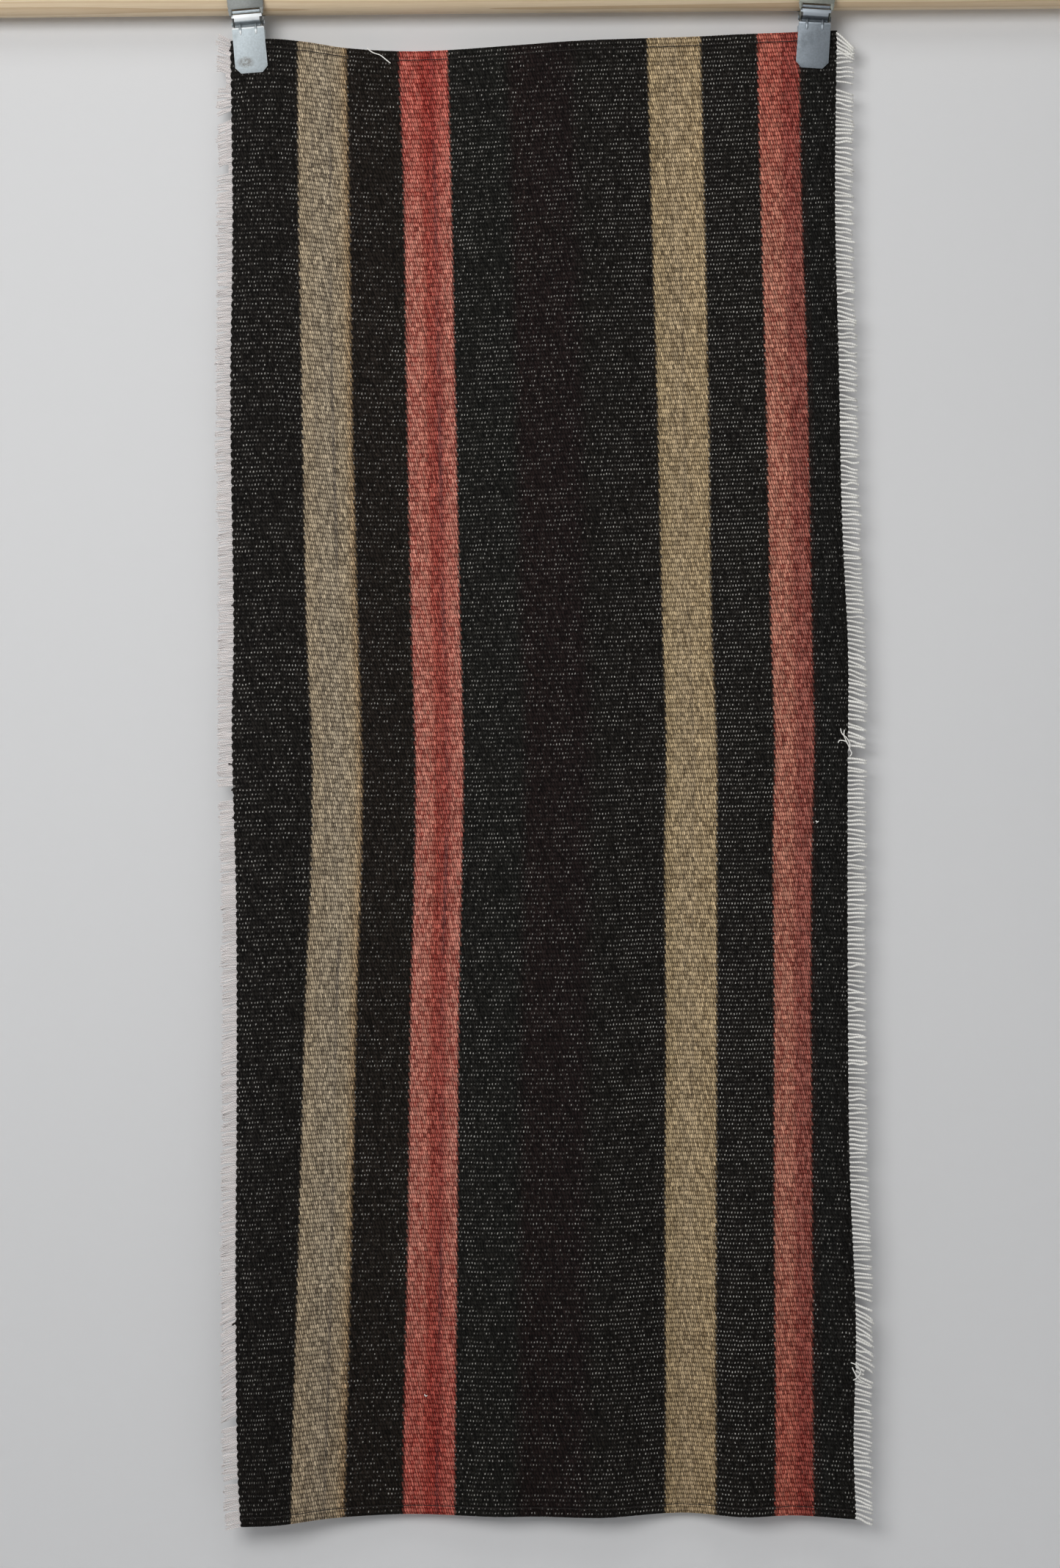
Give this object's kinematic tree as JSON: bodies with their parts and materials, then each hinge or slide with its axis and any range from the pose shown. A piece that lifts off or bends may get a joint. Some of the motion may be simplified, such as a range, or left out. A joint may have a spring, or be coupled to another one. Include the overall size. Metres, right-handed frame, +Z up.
{
  "type": "kilim runner rug on hanging rod",
  "caption": "Flat-woven striped kilim runner with short fringes down both sides, hanging by sprung steel clips from a plain round wooden rod.",
  "frame": {"origin": "on the rod's axis, at the middle of the rod's length", "axes": "+Z up, +X along the rod to the right of someone facing the rug's front, the rug's front faces -Y"},
  "size_m": [0.9, 0.0294, 1.1603],
  "materials": {
    "wool": "weft-faced plain weave in thick wool: black ground with red and beige bands",
    "cotton": "off-white twisted cotton warp ends",
    "zinc_steel": "thin zinc-plated spring steel, smudged",
    "pine": "bare smooth pine dowel"
  },
  "bodies": {
    "root": {"rod": "pine", "kilim_rug": "wool", "fringe_left": "cotton", "fringe_right": "cotton", "clip_left_strap": "zinc_steel", "clip_left_bar": "zinc_steel", "clip_left_pin": "zinc_steel", "clip_left_front_jaw": "zinc_steel", "clip_left_back_jaw": "zinc_steel", "clip_right_strap": "zinc_steel", "clip_right_bar": "zinc_steel", "clip_right_pin": "zinc_steel", "clip_right_front_jaw": "zinc_steel", "clip_right_back_jaw": "zinc_steel"}
  },
  "joints": []
}
